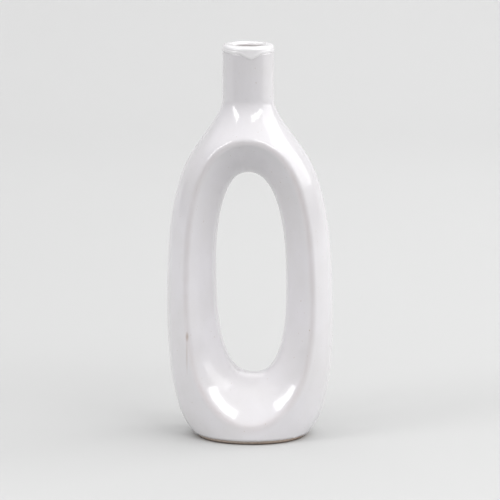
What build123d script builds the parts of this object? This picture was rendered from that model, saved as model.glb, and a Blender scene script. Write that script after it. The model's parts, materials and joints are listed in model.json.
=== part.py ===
"""Flower vase: a hollow glazed stoneware ring on a flat foot, with a short straight neck for a few stems.

Row frame: +Z up, origin on the ground under the middle of the body, X across the face of the ring,
Y through its opening, front towards -Y. Millimetres.

The clay is two pressed half shells joined on the plane of the ring, a disc that closes the bottom and
a neck tube luted on the shoulder. Glaze lies on it in three coats: over the outside, down inside the
neck, and a second dip over the lip.
"""

import os
from math import copysign, cos, pi, radians, sin, sqrt, tan

from build123d import *

# Outside of the glazed vase
total_height = 250.0
body_width = 104.8  # across the belly
body_depth = 76.0  # of the belly, as if no opening were cut through it
foot_width = 70.2
foot_depth = 62.4
neck_diameter = 31.9
belly_height = 82.0  # where the body is widest
shoulder_height = 216.0  # where the shoulder has run out into the straight neck
lean = 0.0085  # sideways drift of the body per unit of height, towards -X

# The opening through the ring, measured on the middle plane
opening_width = 44.0
opening_bottom = 40.6
opening_top = 168.9
opening_offset = 0.75  # of its middle from the middle of the body
opening_lean = 0.0145
opening_squareness_top = 2.3  # 2 is an ellipse
opening_squareness_bottom = 2.6
throat_radius = 15.0  # of the rounded inside of the ring, front to back
throat_turn = 36.0  # degrees that it turns before it runs into the flanks
flank_radius = 80.0  # of the gently rounded flanks, from there to the ridges
flank_turn = 64.0  # degrees off the middle plane beyond which they would run straight
ridge_radius = 4.0  # where the flare meets the outside

# Clay
wall = 4.6
floor_thickness = 5.0
neck_joint_height = 206.0  # the neck tube is luted on the shoulder here
foot_ring = 7.0  # width of the ring that the vase stands on
foot_recess = 1.2
foot_edge = 0.8

# Glaze
coat = 0.7  # outside
liner = 0.4  # inside the neck
lip_coat = 0.95  # both dips together
bare_foot = 2.6  # the coat stops this far above the ground
lip_band = 6.0  # height of the second dip, down from the rim
mouth_diameter = 20.0  # finished

# Outline of the body at even steps of height: shares of the swell in width and of the swell in depth
foot_to_belly = [
    (0, 0),
    (0.455, 0.1),
    (0.683, 0.32),
    (0.83, 0.56),
    (0.917, 0.75),
    (0.967, 0.9),
    (0.992, 0.98),
]
belly_to_neck = [
    (1, 1),
    (0.998, 0.991),
    (0.991, 0.973),
    (0.979, 0.95),
    (0.963, 0.932),
    (0.94, 0.914),
    (0.908, 0.9),
    (0.863, 0.887),
    (0.8, 0.868),
    (0.718, 0.846),
    (0.597, 0.8),
    (0.43, 0.692),
    (0.24, 0.402),
    (0.075, 0.129),
    (0, 0),
]

outline_points = 20  # on each outline of the opening
flare_steps = 9  # outlines from the middle plane to the front, and as many to the back
flare_reach = body_depth / 2 + 3  # past the belly, front and back
spare = 200.0  # reaches past the whole vase
neck_radius = neck_diameter / 2
neck_start = shoulder_height + (shoulder_height - belly_height) / (len(belly_to_neck) - 1)
mouth_radius = mouth_diameter / 2
neck_x = -lean * (shoulder_height - belly_height)
opening_middle = (opening_top + opening_bottom) / 2
lip_line = total_height - lip_band
foot_x = lean * belly_height
clay_foot_width = foot_width / 2 - coat
clay_foot_depth = foot_depth / 2 - coat


def body_outline(inset):
    """Height, half width and half depth of each section up into the neck, drawn in by inset."""
    rows = []
    for i, (across, through) in enumerate(foot_to_belly):
        height = belly_height * i / len(foot_to_belly)
        half_width = foot_width / 2 + (body_width - foot_width) / 2 * across
        half_depth = foot_depth / 2 + (body_depth - foot_depth) / 2 * through
        rows.append((height, half_width - inset, half_depth - inset))
    for i, (across, through) in enumerate(belly_to_neck):
        height = belly_height + (shoulder_height - belly_height) * i / (len(belly_to_neck) - 1)
        half_width = neck_radius + (body_width / 2 - neck_radius) * across
        half_depth = neck_radius + (body_depth / 2 - neck_radius) * through
        rows.append((height, half_width - inset, half_depth - inset))
    rows.append((neck_start, neck_radius - inset, neck_radius - inset))
    return rows


def flare_growth(distance, inset):
    """How far outside the opening the flare is, at a distance from the middle plane, drawn in by inset."""
    tight = throat_radius - inset
    wide = flank_radius - inset
    first = radians(throat_turn)
    last = radians(flank_turn)
    behind = (flank_radius - throat_radius) * sin(first)
    beyond = throat_radius + (flank_radius - throat_radius) * cos(first)
    if distance < tight * sin(first):
        return throat_radius - sqrt(tight**2 - distance**2)
    if distance < wide * sin(last) - behind:
        return beyond - sqrt(wide**2 - (distance + behind) ** 2)
    return beyond - wide * cos(last) + (distance + behind - wide * sin(last)) * tan(last)


def opening_outline(growth):
    """Points on the outline of the opening, grown outwards."""
    half_width = opening_width / 2
    half_height = (opening_top - opening_bottom) / 2
    points = []
    for i in range(outline_points):
        turn = 2 * pi * i / outline_points - pi / 2
        c = cos(turn)
        s = sin(turn)
        n = opening_squareness_top if s >= 0 else opening_squareness_bottom
        size = (half_width * abs(c)) ** (n / (n - 1)) + (half_height * abs(s)) ** (n / (n - 1))
        size = size ** (1 / n)
        x = half_width * copysign((half_width * abs(c)) ** (1 / (n - 1)), c) / size + growth * c
        z = half_height * copysign((half_height * abs(s)) ** (1 / (n - 1)), s) / size + growth * s
        points.append((x + opening_offset - opening_lean * z, opening_middle + z))
    return points


def slab(low, high):
    """All the space between two heights."""
    with BuildPart() as block:
        with BuildSketch(Plane.XY.offset(low)):
            Rectangle(body_width + spare, body_depth + spare)
        extrude(amount=high - low)
    return block.part


def vase_form(inset):
    """The vase as one solid, drawn in by inset, with the opening cut through and the ridges rounded."""
    step = flare_reach / flare_steps
    with BuildPart() as flare:
        for i in range(-flare_steps, flare_steps + 1):
            with BuildSketch(Plane.XZ.offset(step * i)):
                with BuildLine():
                    Spline(*opening_outline(flare_growth(step * abs(i), inset)), periodic=True)
                make_face()
        loft()
    with BuildPart() as form:
        for height, half_width, half_depth in body_outline(inset):
            with BuildSketch(Plane.XY.offset(height)):
                with Locations((-lean * (min(height, shoulder_height) - belly_height), 0)):
                    Ellipse(half_width, half_depth)
        loft()
        with BuildSketch(Plane.XY.offset(neck_start)):
            with Locations((neck_x, 0)):
                Circle(neck_radius - inset)
        extrude(amount=total_height - neck_start)
        add(flare.part, mode=Mode.SUBTRACT)
        long_edges = form.edges().filter_by(lambda edge: edge.length > opening_top - opening_bottom)
        ridges = long_edges.filter_by(lambda edge: abs(edge.center().Y) > opening_width / 4)
        fillet(ridges, max(ridge_radius - inset, ridge_radius / 3))
    return form.part


glazed_form = vase_form(0)
clay_form = vase_form(coat)

# The space inside the ring
with BuildPart() as ring_space:
    add(vase_form(coat + wall))
    add(slab(floor_thickness, neck_joint_height), mode=Mode.INTERSECT)

# The two pressed halves of the ring
with BuildPart() as ring_wall:
    add(clay_form)
    add(slab(floor_thickness, neck_joint_height), mode=Mode.INTERSECT)
    add(ring_space.part, mode=Mode.SUBTRACT)

with BuildPart() as front_shell:
    add(ring_wall.part)
    split(bisect_by=Plane.XZ, keep=Keep.TOP)
front_shell.part.label = "front_shell"

with BuildPart() as back_shell:
    add(ring_wall.part)
    split(bisect_by=Plane.XZ, keep=Keep.BOTTOM)
back_shell.part.label = "back_shell"

# The disc that closes the bottom, bevelled round its edge and hollowed underneath to stand on a ring
with BuildPart() as foot_bevel:
    with BuildSketch(Plane.XY):
        with Locations((foot_x, 0)):
            Ellipse(clay_foot_width - foot_edge, clay_foot_depth - foot_edge)
    with BuildSketch(Plane.XY.offset(floor_thickness)):
        with Locations((foot_x, 0)):
            Ellipse(
                clay_foot_width - foot_edge + floor_thickness,
                clay_foot_depth - foot_edge + floor_thickness,
            )
    loft(ruled=True)

with BuildPart() as base_disc:
    add(clay_form)
    add(slab(0, floor_thickness), mode=Mode.INTERSECT)
    add(foot_bevel.part, mode=Mode.INTERSECT)
    with BuildSketch(Plane.XY):
        with Locations((foot_x, 0)):
            Ellipse(clay_foot_width - foot_ring, clay_foot_depth - foot_ring)
    extrude(amount=foot_recess, mode=Mode.SUBTRACT)
base_disc.part.label = "base_disc"

# The neck, thrown as a tube
with BuildPart() as neck_tube:
    add(clay_form)
    add(slab(neck_joint_height, total_height - lip_coat), mode=Mode.INTERSECT)
    with BuildSketch(Plane.XY.offset(neck_joint_height)):
        with Locations((neck_x, 0)):
            Circle(mouth_radius + liner)
    extrude(amount=total_height - neck_joint_height, mode=Mode.SUBTRACT)
neck_tube.part.label = "neck_tube"

# Glaze over the outside, from just above the ground to the lip
with BuildPart() as outer_glaze:
    add(glazed_form)
    add(slab(bare_foot, lip_line), mode=Mode.INTERSECT)
    add(clay_form, mode=Mode.SUBTRACT)
outer_glaze.part.label = "outer_glaze"

# Glaze poured down the neck
with BuildPart() as neck_liner:
    with BuildSketch(Plane.XY.offset(neck_joint_height)):
        with Locations((neck_x, 0)):
            Circle(mouth_radius + liner)
            Circle(mouth_radius, mode=Mode.SUBTRACT)
    extrude(amount=lip_line - neck_joint_height)
neck_liner.part.label = "neck_liner"

# The second dip, turned over the lip from outside to inside
with BuildPart() as lip_glaze:
    with BuildSketch(Plane.XY.offset(lip_line)):
        with Locations((neck_x, 0)):
            Circle(neck_radius - coat + lip_coat)
            Circle(mouth_radius, mode=Mode.SUBTRACT)
    extrude(amount=lip_band)
    fillet(lip_glaze.faces().sort_by(Axis.Z)[-1].edges(), lip_coat * 0.9)
    with BuildSketch(Plane.XY.offset(lip_line)):
        with Locations((neck_x, 0)):
            Circle(neck_radius - coat)
            Circle(mouth_radius + liner, mode=Mode.SUBTRACT)
    extrude(amount=lip_band - lip_coat, mode=Mode.SUBTRACT)
lip_glaze.part.label = "lip_glaze"

os.makedirs("parts", exist_ok=True)
export_step(front_shell.part, "parts/front_shell.step")
export_step(back_shell.part, "parts/back_shell.step")
export_step(base_disc.part, "parts/base_disc.step")
export_step(neck_tube.part, "parts/neck_tube.step")
export_step(outer_glaze.part, "parts/outer_glaze.step")
export_step(neck_liner.part, "parts/neck_liner.step")
export_step(lip_glaze.part, "parts/lip_glaze.step")
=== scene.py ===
import bpy
import json
import numpy as np
from math import cos, sin, pi, radians
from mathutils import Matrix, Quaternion, Vector, noise

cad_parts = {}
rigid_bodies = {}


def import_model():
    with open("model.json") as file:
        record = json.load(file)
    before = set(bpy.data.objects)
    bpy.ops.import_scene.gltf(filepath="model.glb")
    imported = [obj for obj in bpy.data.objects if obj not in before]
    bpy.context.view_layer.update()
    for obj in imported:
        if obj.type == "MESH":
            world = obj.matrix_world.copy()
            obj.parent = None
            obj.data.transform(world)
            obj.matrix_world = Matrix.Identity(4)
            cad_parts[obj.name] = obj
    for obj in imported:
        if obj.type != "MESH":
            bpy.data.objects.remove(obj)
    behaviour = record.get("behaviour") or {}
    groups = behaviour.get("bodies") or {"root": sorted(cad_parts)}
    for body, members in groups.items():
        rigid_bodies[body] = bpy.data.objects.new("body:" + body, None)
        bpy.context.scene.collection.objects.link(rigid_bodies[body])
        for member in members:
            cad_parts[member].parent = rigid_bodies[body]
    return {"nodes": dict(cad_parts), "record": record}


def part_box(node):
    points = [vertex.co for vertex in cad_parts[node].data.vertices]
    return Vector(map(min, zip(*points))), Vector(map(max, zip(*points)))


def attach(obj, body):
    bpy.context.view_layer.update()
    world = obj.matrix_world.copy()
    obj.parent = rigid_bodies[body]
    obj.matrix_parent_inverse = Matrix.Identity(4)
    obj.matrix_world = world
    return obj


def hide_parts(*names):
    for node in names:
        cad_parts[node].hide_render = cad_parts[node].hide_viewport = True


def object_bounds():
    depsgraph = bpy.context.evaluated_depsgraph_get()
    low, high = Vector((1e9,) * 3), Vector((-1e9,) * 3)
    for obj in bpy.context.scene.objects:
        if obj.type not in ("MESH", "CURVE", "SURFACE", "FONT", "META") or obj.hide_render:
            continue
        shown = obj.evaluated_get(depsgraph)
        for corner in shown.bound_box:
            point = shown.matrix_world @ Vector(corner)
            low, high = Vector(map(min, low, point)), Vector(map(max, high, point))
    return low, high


for old in list(bpy.data.objects):
    bpy.data.objects.remove(old)
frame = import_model()
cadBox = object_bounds()

# all the sizes below are in millimetres, the meshes are made in metres
mm = 0.001
boxLow = [v / mm for v in cadBox[0]]
boxHigh = [v / mm for v in cadBox[1]]
mountDims = {m["name"]: m["dims"] for m in frame["record"]["mounts"]}
vaseHeight = boxHigh[2]
mouthRadius = mountDims["mouth"]["r_mm"]
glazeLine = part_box("outer_glaze")[0][2] / mm
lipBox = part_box("lip_glaze")
lipLine = lipBox[0][2] / mm
neckAxisX = (lipBox[0][0] + lipBox[1][0]) / 2 / mm


def newObject(name, points, faces):
    mesh = bpy.data.meshes.new(name)
    corners = [tuple(p * mm for p in q) for q in points]
    mesh.from_pydata(corners, [], [tuple(int(i) for i in f) for f in faces])
    mesh.update()
    for poly in mesh.polygons:
        poly.use_smooth = True
    obj = bpy.data.objects.new(name, mesh)
    bpy.context.scene.collection.objects.link(obj)
    return obj


# shape of the body
vase = {
    "bellyHeight": 82.0,
    "shoulderHeight": 216.0,
    "footHalf": (35.1, 31.2),       # width, depth
    "bellyHalf": (52.4, 38.0),
    "neckRadius": 15.95,
    "lean": 0.0085,
    "openingHalfWidth": 22.0,
    "openingBottom": 40.6,
    "openingTop": 168.9,
    "openingOffset": 0.75,
    "openingLean": 0.0145,
    "squareTop": 2.3,
    "squareBottom": 2.6,
    "throatRadius": 15.0,
    "throatTurn": 36.0,
    "flankRadius": 80.0,
    "flankTurn": 64.0,
    "ridgeRadius": 4.0,
    "ringReach": 44.0,              # from the opening to a line outside the clay, to measure from
    "flareTop": 34.0,               # no flare this far above the opening
    # swell in width and in depth at even steps of height
    "footToBelly": [
        (0, 0), (0.455, 0.1), (0.683, 0.32), (0.83, 0.56), (0.917, 0.75), (0.967, 0.9), (0.992, 0.98),
    ],
    "bellyToNeck": [
        (1, 1), (0.998, 0.991), (0.991, 0.973), (0.979, 0.95), (0.963, 0.932), (0.94, 0.914), (0.908, 0.9),
        (0.863, 0.887), (0.8, 0.868), (0.718, 0.846), (0.597, 0.8), (0.43, 0.692), (0.24, 0.402),
        (0.075, 0.129), (0, 0),
    ],
    "cell": 1.5,                    # size of the mesh
    "relaxSteps": 4,                # rounds of evening it out
    "coat": 0.6,                    # thickness of the glaze
    "tintWidth": 3.0,               # of the tint along a ridge: clay showing through thinning glaze, together with a painted dark reflection
    "tintTop": 24.0,                # none this far above the opening
    "tintDepth": 6.0,               # none deeper than this inside the outline of the body
}
tiny = 1e-9


def splineThrough(xs, ys):
    # cubic through the points, free at the start and level at the end; gives value and slope
    xs, ys = np.array(xs, float), np.array(ys, float)
    n, h = len(xs), np.diff(xs)
    slope = np.diff(ys) / h
    rows, rhs = np.eye(n), np.zeros(n)
    for i in range(1, n - 1):
        rows[i, i - 1:i + 2] = h[i - 1], 2 * (h[i - 1] + h[i]), h[i]
        rhs[i] = 6 * (slope[i] - slope[i - 1])
    rows[n - 1, n - 2:] = h[-1], 2 * h[-1]
    rhs[n - 1] = -6 * slope[-1]
    m = np.linalg.solve(rows, rhs)

    def at(x):
        x = np.clip(x, xs[0], xs[-1])
        i = np.clip(np.searchsorted(xs, x) - 1, 0, n - 2)
        a, b, k = xs[i + 1] - x, x - xs[i], h[i]
        value = (m[i] * a ** 3 + m[i + 1] * b ** 3) / (6 * k)
        value = value + (ys[i] / k - m[i] * k / 6) * a + (ys[i + 1] / k - m[i + 1] * k / 6) * b
        rate = (m[i + 1] * b ** 2 - m[i] * a ** 2) / (2 * k) + slope[i] - (m[i + 1] - m[i]) * k / 6
        return value, rate
    return at


def bodyOutlines():
    low, high = vase["footToBelly"], vase["bellyToNeck"]
    belly, top = vase["bellyHeight"], vase["shoulderHeight"]
    heights = [belly * i / len(low) for i in range(len(low))]
    heights += [belly + (top - belly) * i / (len(high) - 1) for i in range(len(high))]
    curves = []
    for k in (0, 1):
        foot, swell, neck = vase["footHalf"][k], vase["bellyHalf"][k], vase["neckRadius"]
        halves = [foot + (swell - foot) * s[k] for s in low]
        halves += [neck + (swell - neck) * s[k] for s in high]
        curves.append(splineThrough(heights, halves))
    return curves


halfWidthAt, halfDepthAt = bodyOutlines()


def ringCurve(count):
    # a line round the opening, well outside the clay
    halfHeight = (vase["openingTop"] - vase["openingBottom"]) / 2
    middle = vase["openingBottom"] + halfHeight
    t = 2 * pi * np.arange(count) / count - pi / 2
    c, s = np.cos(t), np.sin(t)
    n = np.where(s >= 0, vase["squareTop"], vase["squareBottom"])
    w = vase["openingHalfWidth"]
    size = ((w * abs(c)) ** (n / (n - 1)) + (halfHeight * abs(s)) ** (n / (n - 1))) ** (1 / n)
    x = w * np.sign(c) * (w * abs(c)) ** (1 / (n - 1)) / size + vase["ringReach"] * c
    z = halfHeight * np.sign(s) * (halfHeight * abs(s)) ** (1 / (n - 1)) / size + vase["ringReach"] * s
    points = np.stack([x + vase["openingOffset"] - vase["openingLean"] * z, middle + z], 1)
    normals = np.stack([c, s + vase["openingLean"] * c], 1)
    return points, normals / np.linalg.norm(normals, axis=1)[:, None]


ringPoints = 480
ringBatch = 8000         # points measured at a time
ringLine, ringNormal = ringCurve(ringPoints)


def ringNearest(x, z):
    # nearest point of the ring line to each point of the middle plane, with its normals blended
    flat = np.stack([x.ravel(), z.ravel()], 1)
    nearest = np.empty_like(flat)
    for start in range(0, len(flat), ringBatch):
        part = flat[start:start + ringBatch]
        best = (part[:, :1] - ringLine[:, 0]) ** 2
        best += (part[:, 1:] - ringLine[:, 1]) ** 2
        i = best.argmin(1)

        def side(k):
            gap, way = part - ringLine[k], ringNormal[k]
            return gap[:, 0] * way[:, 1] - gap[:, 1] * way[:, 0]
        j = (i + 1) % len(ringLine)
        i = np.where(side(i) * side(j) > 0, (i - 1) % len(ringLine), i)
        j = (i + 1) % len(ringLine)
        si, sj = side(i), side(j)
        share = np.clip(si / np.where(abs(si - sj) < tiny, 1, si - sj), 0, 1)[:, None]
        nearest[start:start + ringBatch] = ringLine[i] + share * (ringLine[j] - ringLine[i])
    return nearest[:, 0].reshape(x.shape), nearest[:, 1].reshape(z.shape)


def ringSection(into, y):
    # section of the ring: a tight round at the throat, a wide one along each flank, straight past the ridge
    tight, wide = vase["throatRadius"], vase["flankRadius"]
    first, last = radians(vase["throatTurn"]), radians(vase["flankTurn"])
    depth = abs(y)
    u, v = into - tight, depth
    reach = np.sqrt(u ** 2 + v ** 2) + tiny
    value, gi, gy = reach - tight, u / reach, v / reach
    onFlank = u * sin(first) + v * cos(first) > 0
    u, v = u - (wide - tight) * cos(first), v + (wide - tight) * sin(first)
    reach = np.sqrt(u ** 2 + v ** 2) + tiny
    value = np.where(onFlank, reach - wide, value)
    gi, gy = np.where(onFlank, u / reach, gi), np.where(onFlank, v / reach, gy)
    straight = onFlank & (u * sin(last) + v * cos(last) > 0)
    value = np.where(straight, v * sin(last) - u * cos(last) - wide, value)
    gi, gy = np.where(straight, -cos(last), gi), np.where(straight, sin(last), gy)
    return value, gi, gy * np.sign(y)


farInside = -60.0


def shapeAt(x, y, z, near=None):
    # signed distance to the glazed body, negative inside, and its gradient
    a, da = halfWidthAt(z)
    b, db = halfDepthAt(z)
    drift = np.minimum(z, vase["shoulderHeight"])
    u = x + vase["lean"] * (drift - vase["bellyHeight"])
    du = np.where(z < vase["shoulderHeight"], vase["lean"], 0)
    q = np.sqrt((u / a) ** 2 + (y / b) ** 2) + tiny
    gx, gy = u / a ** 2 / q, y / b ** 2 / q
    gz = (u * du / a ** 2 - u ** 2 * da / a ** 3 - y ** 2 * db / b ** 3) / q
    steep = np.sqrt(gx ** 2 + gy ** 2 + gz ** 2) + tiny
    outside = (q - 1) / steep
    n1 = np.stack([gx, gy, gz]) / steep
    nx, nz = near if near is not None else ringNearest(x, z)
    gap = np.sqrt((x - nx) ** 2 + (z - nz) ** 2) + tiny
    through, gi, gy = ringSection(vase["ringReach"] - gap, y)
    n2 = np.stack([gi * (nx - x) / gap, gy, gi * (nz - z) / gap])
    through = np.where(z > vase["openingTop"] + vase["flareTop"], farInside, through)
    # ball of the ridge radius rolled along where the two meet
    r = vase["ridgeRadius"]
    c = np.clip((n1 * n2).sum(0), -0.95, 0.97)
    s, t = outside + r, through + r
    wedge = (s > c * t) & (t > c * s) & (s + t > 0)
    away = np.sqrt(np.maximum(s ** 2 + t ** 2 - 2 * c * s * t, tiny) / (1 - c ** 2))
    value = np.where(wedge, away - r, np.maximum(outside, through))
    k1, k2 = (s - c * t) / ((1 - c ** 2) * away), (t - c * s) / ((1 - c ** 2) * away)
    grad = np.where(wedge, k1 * n1 + k2 * n2, np.where(outside > through, n1, n2))
    return value, grad


def meshBody():
    h = vase["cell"]
    xs = np.arange(boxLow[0] - 2 * h, boxHigh[0] + 3 * h, h)
    ys = (np.arange(60) - 29.5) * h
    ys = ys[abs(ys) < boxHigh[1] + 3 * h]
    zs = np.arange(glazeLine - 1.5 * h, lipLine + 3.5, h)
    X, Z = np.meshgrid(xs, zs, indexing="ij")
    near = [v[:, None, :] for v in ringNearest(X, Z)]
    gx, gy, gz = np.meshgrid(xs, ys, zs, indexing="ij")
    value, _ = shapeAt(gx, gy, gz, near)
    inside = value < 0
    # a point in every cell that the surface passes through
    count = np.zeros([n - 1 for n in inside.shape], int)
    for i in (0, 1):
        for j in (0, 1):
            for k in (0, 1):
                count += inside[i:i + count.shape[0], j:j + count.shape[1], k:k + count.shape[2]]
    active = (count > 0) & (count < 8)
    index = -np.ones(active.shape, int)
    index[active] = np.arange(active.sum())
    ci, cj, ck = np.nonzero(active)
    pts = np.stack([xs[ci] + h / 2, ys[cj] + h / 2, zs[ck] + h / 2], 1)
    # a quad round every grid edge that crosses the surface
    quads = []
    for axis in range(3):
        lowEnd = [slice(None)] * 3
        highEnd = [slice(None)] * 3
        lowEnd[axis] = slice(0, -1)
        highEnd[axis] = slice(1, None)
        p, q = inside[tuple(lowEnd)], inside[tuple(highEnd)]
        edge = np.argwhere(p != q)
        b, c = (axis + 1) % 3, (axis + 2) % 3
        keep = (edge[:, b] > 0) & (edge[:, b] < inside.shape[b] - 1)
        keep &= (edge[:, c] > 0) & (edge[:, c] < inside.shape[c] - 1)
        edge = edge[keep]
        outward = p[tuple(edge.T)]
        ring = []
        for db, dc in ((1, 1), (0, 1), (0, 0), (1, 0)):
            cell = edge.copy()
            cell[:, b] -= db
            cell[:, c] -= dc
            ring.append(index[tuple(cell.T)])
        ring = np.stack(ring, 1)
        quads.append(np.where(outward[:, None], ring, ring[:, ::-1]))
    quads = np.concatenate(quads)
    line = abs(pts[:, 2] - glazeLine) < h / 4
    top = ck == ck.max()

    def project(p, steps):
        for _ in range(steps):
            f, g = shapeAt(p[:, 0], p[:, 1], p[:, 2])
            move = (f * g / np.maximum((g ** 2).sum(0), 0.2)).T
            p = p - np.clip(move, -h, h)
            p[line, 2] = glazeLine
            p[top, 2] = zs[-1] - h / 2
        return p

    pts = project(pts, 4)
    sides = np.concatenate([quads[:, [i, (i + 1) % 4]] for i in range(4)])
    links = np.unique(np.sort(sides, 1), axis=0)
    for _ in range(vase["relaxSteps"]):
        total, degree = np.zeros_like(pts), np.zeros(len(pts))
        for i, j in ((0, 1), (1, 0)):
            np.add.at(total, links[:, i], pts[links[:, j]])
            np.add.at(degree, links[:, i], 1)
        free = ~(line | top)
        pts[free] = 0.5 * pts[free] + 0.5 * (total / degree[:, None])[free]
        pts = project(pts, 1)
    pts = project(pts, 2)
    # keep what is above the glaze line
    alive = pts[:, 2] > glazeLine - 0.01
    number = np.cumsum(alive) - 1
    quads = quads[alive[quads].all(1)]
    return pts[alive], number[quads]


bodyPoints, bodyFaces = meshBody()
glazeCoat = newObject("glaze_coat", bodyPoints, bodyFaces)
print("glaze coat", len(bodyPoints), "points", len(bodyFaces), "faces")


def ridgeShare(points):
    # 1 along the rounded ridges, where the melted glaze thinned; the tint it drives also paints the dark
    # reflection seen along the ridge
    x, y, z = points.T
    a, _ = halfWidthAt(z)
    b, _ = halfDepthAt(z)
    drift = np.minimum(z, vase["shoulderHeight"])
    q = np.sqrt(((x + vase["lean"] * (drift - vase["bellyHeight"])) / a) ** 2 + (y / b) ** 2)
    nx, nz = ringNearest(x, z)
    gap = np.sqrt((x - nx) ** 2 + (z - nz) ** 2)
    inner = -ringSection(vase["ringReach"] - gap, y)[0]
    outer = (1 - q) * np.minimum(a, b)
    share = np.clip(1 - abs(outer - inner) / vase["tintWidth"], 0, 1)
    onRidge = (z < vase["openingTop"] + vase["tintTop"]) & (outer < vase["tintDepth"])
    return np.where(onRidge, share, 0)


thin = glazeCoat.data.attributes.new("thin", "FLOAT", "POINT")
thin.data.foreach_set("value", ridgeShare(bodyPoints).astype(np.float32))
wall = glazeCoat.modifiers.new("coat", "SOLIDIFY")
wall.thickness = vase["coat"] * mm
wall.offset = -1

# second dip over the lip
lip = {
    "around": 200,
    "clayInset": 0.7,        # of the clay inside the outside of the vase
    "foldDepth": 3.5,        # of the hidden top of the clay below the rim
    "tuck": 0.05,            # the lower edge starts this far inside the coat
    "thickness": 0.2,
    "bead": 0.16,            # thicker along its lower edge
    "edge": 1.6,             # height over which that edge rounds off
    "edgeHeight": 245.2,
    "edgeWander": 0.8,
    "dripAngle": -82.0,
    "dripWidth": 17.0,        # degrees
    "dripLength": 3.4,
    "dripSwell": 0.15,
    "rimWander": 0.25,
    "sideWander": 0.12,
    "outerRound": 2.3,
    "innerRound": 1.8,
    "insideDepth": 4.6,
    "inner": 0.35,           # clearance of the hidden side from the clay
    "shadeFrom": 2.6,        # painted shade: the mouth is painted darker below this depth
    "shadeRun": 0.8,
}


def meshLip():
    rings = []
    n = lip["around"]
    neck = vase["neckRadius"]
    for k in range(n):
        t = 2 * pi * k / n
        way = Vector((cos(t), sin(t), 0))
        wander = noise.noise(way * 1.7 + Vector((4.0, 0, 0))) + 0.4 * noise.noise(way * 5.1)
        off = (np.degrees(t) - lip["dripAngle"] + 180) % 360 - 180
        drip = np.exp(-(off / lip["dripWidth"]) ** 2)
        low = lip["edgeHeight"] + lip["edgeWander"] * wander - lip["dripLength"] * drip
        top = vaseHeight + lip["rimWander"] * (noise.noise(way * 1.3 + Vector((0, 7.0, 0))) - 1)
        body = neck + lip["thickness"] + lip["dripSwell"] * drip
        body += lip["sideWander"] * noise.noise(way * 2.2 + Vector((0, 0, 3.0)))
        section = []
        for i in range(7):
            a = i / 6 * pi / 2
            rise = lip["edge"] * (1 - cos(a))
            start = neck - lip["tuck"]
            section.append((start + (body + lip["bead"] - start) * sin(a), low + rise))
        highStart = top - lip["outerRound"]
        for i in range(1, 8):
            share = i / 8
            z = low + lip["edge"] + (highStart - low - lip["edge"]) * share
            section.append((body + lip["bead"] * (1 - share) ** 2, z))
        for i in range(9):
            a = i / 8 * pi / 2
            section.append((body - lip["outerRound"] * (1 - cos(a)), highStart + lip["outerRound"] * sin(a)))
        for i in range(9):
            a = i / 8 * pi / 2
            r = mouthRadius + lip["innerRound"] * (1 - sin(a))
            section.append((r, top - lip["innerRound"] * (1 - cos(a))))
        section.append((mouthRadius, vaseHeight - lip["insideDepth"]))
        section.append((mouthRadius + lip["inner"], vaseHeight - lip["insideDepth"]))
        section.append((mouthRadius + lip["inner"], vaseHeight - lip["foldDepth"]))
        section.append((neck - lip["clayInset"] - lip["inner"], vaseHeight - lip["foldDepth"]))
        section.append((neck - lip["clayInset"] - lip["inner"], low))
        rings.append([(neckAxisX + r * cos(t), r * sin(t), z) for r, z in section])
    count = len(rings[0])
    points = [p for ring in rings for p in ring]
    faces = []
    for k in range(n):
        for i in range(count):
            j = (i + 1) % count
            m = (k + 1) % n
            faces.append((k * count + i, m * count + i, m * count + j, k * count + j))
    return points, faces


lipGlaze = newObject("lip_glaze_bead", *meshLip())
# painted shade: the lip is painted darker down inside the mouth, kept in its tint attribute
mouthShade = []
for v in lipGlaze.data.vertices:
    away = Vector((v.co.x / mm - neckAxisX, v.co.y / mm)).length
    down = vaseHeight - v.co.z / mm
    shade = min(max((down - lip["shadeFrom"]) / lip["shadeRun"], 0), 1)
    mouthShade.append(shade if away < mouthRadius + 1 else 0)
lipGlaze.data.attributes.new("thin", "FLOAT", "POINT").data.foreach_set("value", mouthShade)
print("lip glaze made")


# materials
def newMaterial(name):
    mat = bpy.data.materials.new(name)
    mat.use_nodes = True
    tree = mat.node_tree
    tree.nodes.clear()
    out = tree.nodes.new("ShaderNodeOutputMaterial")
    shader = tree.nodes.new("ShaderNodeBsdfPrincipled")
    tree.links.new(shader.outputs[0], out.inputs["Surface"])
    coords = tree.nodes.new("ShaderNodeTexCoord")
    return mat, tree, shader, coords.outputs["Object"]


def noiseNode(tree, coords, scale, detail=3.0, rough=0.5):
    node = tree.nodes.new("ShaderNodeTexNoise")
    node.inputs["Scale"].default_value = scale
    node.inputs["Detail"].default_value = detail
    node.inputs["Roughness"].default_value = rough
    tree.links.new(coords, node.inputs["Vector"])
    return node


def rampNode(tree, source, stops):
    node = tree.nodes.new("ShaderNodeValToRGB")
    ramp = node.color_ramp
    while len(ramp.elements) < len(stops):
        ramp.elements.new(0.5)
    for element, (place, colour) in zip(ramp.elements, stops):
        element.position = place
        element.color = (*colour, 1)
    tree.links.new(source, node.inputs["Fac"])
    return node


def mixColour(tree, factor, a, b, mode="MIX"):
    node = tree.nodes.new("ShaderNodeMix")
    node.data_type = "RGBA"
    node.blend_type = mode
    for socket, value in ((node.inputs["Factor"], factor), (node.inputs["A"], a), (node.inputs["B"], b)):
        if hasattr(value, "is_linked"):
            tree.links.new(value, socket)
        elif isinstance(value, tuple):
            socket.default_value = (*value, 1)
        else:
            socket.default_value = value
    return node.outputs["Result"]


def bumpNode(tree, height, strength, distance, normal=None):
    node = tree.nodes.new("ShaderNodeBump")
    node.inputs["Strength"].default_value = strength
    node.inputs["Distance"].default_value = distance
    tree.links.new(height, node.inputs["Height"])
    if normal is not None:
        tree.links.new(normal, node.inputs["Normal"])
    return node.outputs["Normal"]


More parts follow.
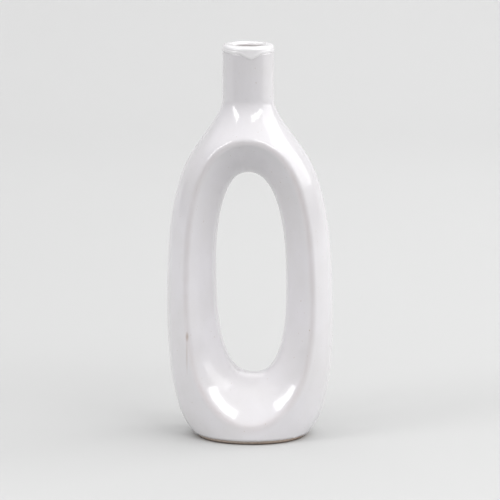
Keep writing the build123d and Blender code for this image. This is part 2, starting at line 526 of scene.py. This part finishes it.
glazeLook = {
    "white": (0.79, 0.775, 0.8),
    "cool": (0.75, 0.735, 0.745),
    "clayShow": (0.6, 0.5, 0.48),
    "thinStrength": 0.4,
    "cloudScale": 28.0,
    "peelScale": 260.0,
    "peelDepth": 0.00004,
    "swellScale": 55.0,
    "swellDepth": 0.00025,
    "roughness": 0.16,
    "coatWeight": 0.6,
    "coatRoughness": 0.04,
    "patchScale": 60.0,
    "speckScale": 900.0,
    "speckColour": (0.52, 0.43, 0.36),
    "stainColour": (0.36, 0.24, 0.17),
}
# two coats over the lip make it whiter, and its white is painted paler still, standing in for the light on
# the rim
lipLookPaintedLightAndShade = dict(glazeLook, white=(0.9, 0.89, 0.9), cool=(0.87, 0.86, 0.87))
# painted shade: down the mouth the lip is painted dark brown, where the inside is in shade
lipLookPaintedLightAndShade.update(clayShow=(0.2, 0.11, 0.08), thinStrength=2.2)
# painted shade: the liner inside the neck is painted dark brown, where it is in shade
linerPaintedShadeLook = dict(glazeLook, white=(0.36, 0.27, 0.22), cool=(0.28, 0.2, 0.16))
# marks left by the kiln on the front of the left ridge: middle, reach, strength
stains = [
    ((-0.0384, -0.0245, 0.0680), (0.0012, 0.006, 0.0038), 0.55),
    ((-0.0386, -0.0240, 0.0560), (0.0008, 0.006, 0.0150), 0.25),
]


def times(tree, a, b):
    node = tree.nodes.new("ShaderNodeMath")
    node.operation = "MULTIPLY"
    tree.links.new(a, node.inputs[0])
    if hasattr(b, "is_linked"):
        tree.links.new(b, node.inputs[1])
    else:
        node.inputs[1].default_value = b
    return node.outputs[0]


def stainMask(tree, coords, middle, reach, strength):
    away = tree.nodes.new("ShaderNodeVectorMath")
    away.operation = "SUBTRACT"
    away.inputs[1].default_value = middle
    tree.links.new(coords, away.inputs[0])
    share = tree.nodes.new("ShaderNodeVectorMath")
    share.operation = "DIVIDE"
    share.inputs[1].default_value = reach
    tree.links.new(away.outputs[0], share.inputs[0])
    size = tree.nodes.new("ShaderNodeVectorMath")
    size.operation = "LENGTH"
    tree.links.new(share.outputs[0], size.inputs[0])
    fade = rampNode(tree, size.outputs["Value"], [(0.2, (strength,) * 3), (1.0, (0, 0, 0))])
    return fade.outputs["Color"]


def glazeMaterial(name, look, marks=()):
    mat, tree, shader, coords = newMaterial(name)
    cloud = noiseNode(tree, coords, look["cloudScale"], 4.0, 0.55)
    tone = rampNode(tree, cloud.outputs["Fac"], [(0.35, look["cool"]), (0.65, look["white"])])
    # tint from the attribute: clay showing through thinning glaze on the ridges, with a painted dark
    # reflection there; on the lip it is painted shade down the mouth
    thinNode = tree.nodes.new("ShaderNodeAttribute")
    thinNode.attribute_name = "thin"
    patch = noiseNode(tree, coords, look["patchScale"], 3.0)
    share = times(tree, thinNode.outputs["Fac"], patch.outputs["Fac"])
    share = times(tree, share, look["thinStrength"])
    colour = mixColour(tree, share, tone.outputs["Color"], look["clayShow"])
    for middle, reach, strength in marks:
        mask = stainMask(tree, coords, middle, reach, strength)
        colour = mixColour(tree, mask, colour, look["stainColour"])
    specks = noiseNode(tree, coords, look["speckScale"], 1.0)
    speckMask = rampNode(tree, specks.outputs["Fac"], [(0.77, (0, 0, 0)), (0.80, (1, 1, 1))])
    colour = mixColour(tree, speckMask.outputs["Color"], colour, look["speckColour"])
    tree.links.new(colour, shader.inputs["Base Color"])
    shader.inputs["Roughness"].default_value = look["roughness"]
    shader.inputs["Coat Weight"].default_value = look["coatWeight"]
    shader.inputs["Coat Roughness"].default_value = look["coatRoughness"]
    swell = noiseNode(tree, coords, look["swellScale"], 1.0)
    peel = noiseNode(tree, coords, look["peelScale"], 2.0)
    normal = bumpNode(tree, swell.outputs["Fac"], 1.0, look["swellDepth"])
    normal = bumpNode(tree, peel.outputs["Fac"], 1.0, look["peelDepth"], normal)
    tree.links.new(normal, shader.inputs["Normal"])
    return mat


clayLook = {
    "grainScale": 900.0,
    "grainDepth": 0.0002,
    "tones": [(0.3, (0.36, 0.29, 0.24)), (0.55, (0.52, 0.44, 0.38)), (0.75, (0.62, 0.55, 0.49))],
    "blushScale": 45.0,
    "blush": (1.0, 0.90, 0.80),
    # painted contact shadow at the foot: its colour, and the heights over which it fades out
    "paintedContactShadow": (0.42, 0.33, 0.28),
    "paintedShadowFrom": 0.0003,          # metres above the ground
    "paintedShadowTo": 0.0014,
}


def clayMaterial():
    mat, tree, shader, coords = newMaterial("bareStoneware")
    grain = noiseNode(tree, coords, clayLook["grainScale"], 5.0, 0.65)
    body = rampNode(tree, grain.outputs["Fac"], clayLook["tones"])
    blush = noiseNode(tree, coords, clayLook["blushScale"], 3.0)
    tint = rampNode(tree, blush.outputs["Fac"], [(0.4, (1, 1, 1)), (0.7, clayLook["blush"])])
    colour = mixColour(tree, 0.7, body.outputs["Color"], tint.outputs["Color"], "MULTIPLY")
    # painted contact shadow: the clay is painted darker towards the ground, where the foot stands
    place = tree.nodes.new("ShaderNodeSeparateXYZ")
    tree.links.new(coords, place.inputs[0])
    low = tree.nodes.new("ShaderNodeMapRange")
    low.inputs["From Min"].default_value = clayLook["paintedShadowFrom"]
    low.inputs["From Max"].default_value = clayLook["paintedShadowTo"]
    tree.links.new(place.outputs["Z"], low.inputs["Value"])
    paintedContactShadow = rampNode(tree, low.outputs["Result"], [(0.0, clayLook["paintedContactShadow"]), (1.0, (1, 1, 1))])
    colour = mixColour(tree, 1.0, colour, paintedContactShadow.outputs["Color"], "MULTIPLY")
    tree.links.new(colour, shader.inputs["Base Color"])
    rough = rampNode(tree, grain.outputs["Fac"], [(0.3, (0.95, 0.95, 0.95)), (0.7, (0.75, 0.75, 0.75))])
    tree.links.new(rough.outputs["Color"], shader.inputs["Roughness"])
    normal = bumpNode(tree, grain.outputs["Fac"], 0.8, clayLook["grainDepth"])
    tree.links.new(normal, shader.inputs["Normal"])
    return mat


whiteGlaze = glazeMaterial("whiteGlaze", glazeLook, stains)
lipPaintedLightAndShade = glazeMaterial("lipGlaze", lipLookPaintedLightAndShade)
mouthPaintedShade = glazeMaterial("linerGlazePaintedShade", linerPaintedShadeLook)
bareStoneware = clayMaterial()
glazeCoat.data.materials.append(whiteGlaze)
lipGlaze.data.materials.append(lipPaintedLightAndShade)
nodeLooks = {"outer_glaze": whiteGlaze, "lip_glaze": lipPaintedLightAndShade, "neck_liner": mouthPaintedShade}
for name, obj in frame["nodes"].items():
    obj.data.materials.clear()
    obj.data.materials.append(nodeLooks.get(name, bareStoneware))

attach(glazeCoat, "root")
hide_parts("outer_glaze")
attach(lipGlaze, "root")
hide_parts("lip_glaze")
print("materials set")

# floor, light and camera
studio = {
    "floorHalf": 3.0,
    "floorFront": -0.5,
    "bendStart": 1.2,
    "bendRadius": 1.0,
    "wallTop": 3.5,
    "floorColour": (0.575, 0.58, 0.575),
    # painted light: the wall part of the same paper gets a paler colour than the floor, standing in for the
    # light on the backdrop
    "wallColourPaintedLight": (0.79, 0.795, 0.79),
    "paintedLightFrom": 0.1,
    "paintedLightTo": 2.1,
    "worldColour": (1.0, 0.99, 1.0),
    "worldStrength": 1.29,
    "worldSteps": [(0.0, 0.0), (0.1, 0.26), (0.35, 0.3), (0.8, 1.0)],
    "cameraDistance": 2.187,
    "cameraAzimuth": 2.5,
    "cameraElevation": 11.0,
    "cameraTarget": (0.0, 0.0, 0.1190),
    "cameraLens": 250.0,
}


def makeFloor():
    line = [(studio["floorFront"], 0.0), (studio["bendStart"], 0.0)]
    for i in range(1, 25):
        a = pi / 2 * i / 24
        out, up = studio["bendRadius"] * sin(a), studio["bendRadius"] * (1 - cos(a))
        line.append((studio["bendStart"] + out, up))
    line.append((line[-1][0], studio["wallTop"]))
    half = studio["floorHalf"] / mm
    points = []
    for y, z in line:
        points += [(-half, y / mm, z / mm), (half, y / mm, z / mm)]
    faces = [(2 * i, 2 * i + 1, 2 * i + 3, 2 * i + 2) for i in range(len(line) - 1)]
    floor = newObject("studio_floor", points, faces)
    mat, tree, shader, coords = newMaterial("palePaper")
    grain = noiseNode(tree, coords, 3.0, 2.0)
    c = studio["floorColour"]
    tone = rampNode(tree, grain.outputs["Fac"], [(0.3, tuple(v * 0.985 for v in c)), (0.7, c)])
    # painted light: the paper is painted paler towards the wall
    place = tree.nodes.new("ShaderNodeSeparateXYZ")
    tree.links.new(coords, place.inputs[0])
    run = tree.nodes.new("ShaderNodeMapRange")
    run.inputs["From Min"].default_value = studio["paintedLightFrom"]
    run.inputs["From Max"].default_value = studio["paintedLightTo"]
    tree.links.new(place.outputs["Y"], run.inputs["Value"])
    colour = mixColour(tree, run.outputs["Result"], tone.outputs["Color"], studio["wallColourPaintedLight"])
    tree.links.new(colour, shader.inputs["Base Color"])
    shader.inputs["Roughness"].default_value = 0.9
    shader.inputs["Specular IOR Level"].default_value = 0.2
    floor.data.materials.append(mat)


def softBox(name, azimuth, elevation, distance, size, power, roll=0):
    # aimed at the middle of the vase; azimuth 0 is in front, 90 to the right; roll lifts its right end
    light = bpy.data.lights.new(name, "AREA")
    light.shape = "RECTANGLE"
    light.size, light.size_y = size
    light.energy = power
    obj = bpy.data.objects.new(name, light)
    a, e = radians(azimuth), radians(elevation)
    way = Vector((sin(a) * cos(e), -cos(a) * cos(e), sin(e)))
    obj.location = Vector(studio["cameraTarget"]) + way * distance
    obj.rotation_euler = (way.to_track_quat("Z", "Y") @ Quaternion((0, 0, 1), radians(roll))).to_euler()
    bpy.context.scene.collection.objects.link(obj)


def makeWorld():
    # brighter overhead than at the horizon, dark below it
    world = bpy.data.worlds.new("studioAir")
    world.use_nodes = True
    tree = world.node_tree
    coords = tree.nodes.new("ShaderNodeTexCoord")
    split = tree.nodes.new("ShaderNodeSeparateXYZ")
    tree.links.new(coords.outputs["Generated"], split.inputs[0])
    tint = studio["worldColour"]
    stops = [(height, tuple(v * c for c in tint)) for height, v in studio["worldSteps"]]
    sky = rampNode(tree, split.outputs["Z"], stops)
    tree.links.new(sky.outputs["Color"], tree.nodes["Background"].inputs["Color"])
    tree.nodes["Background"].inputs["Strength"].default_value = studio["worldStrength"]
    bpy.context.scene.world = world


bpy.context.scene.view_settings.view_transform = "Standard"
makeFloor()
makeWorld()
softBox("key_right", 45, 40, 1.5, (1.2, 0.26), 5.6, -33)
softBox("window_left", -58, 32, 1.4, (0.9, 0.26), 4.2, 55)
softBox("side_right", 98, 30, 1.6, (1.5, 1.3), 10)
softBox("rear", 180, 50, 1.6, (1.6, 0.6), 3)
camera = bpy.data.objects.new("camera", bpy.data.cameras.new("camera"))
camera.data.lens = studio["cameraLens"]
camera.data.clip_end = 20
azimuth, elevation = radians(studio["cameraAzimuth"]), radians(studio["cameraElevation"])
aim = Vector(studio["cameraTarget"])
back = Vector((sin(azimuth) * cos(elevation), -cos(azimuth) * cos(elevation), sin(elevation)))
camera.location = aim + back * studio["cameraDistance"]
camera.rotation_euler = (-back).to_track_quat("-Z", "Y").to_euler()
bpy.context.scene.collection.objects.link(camera)
bpy.context.scene.camera = camera
print("studio ready")
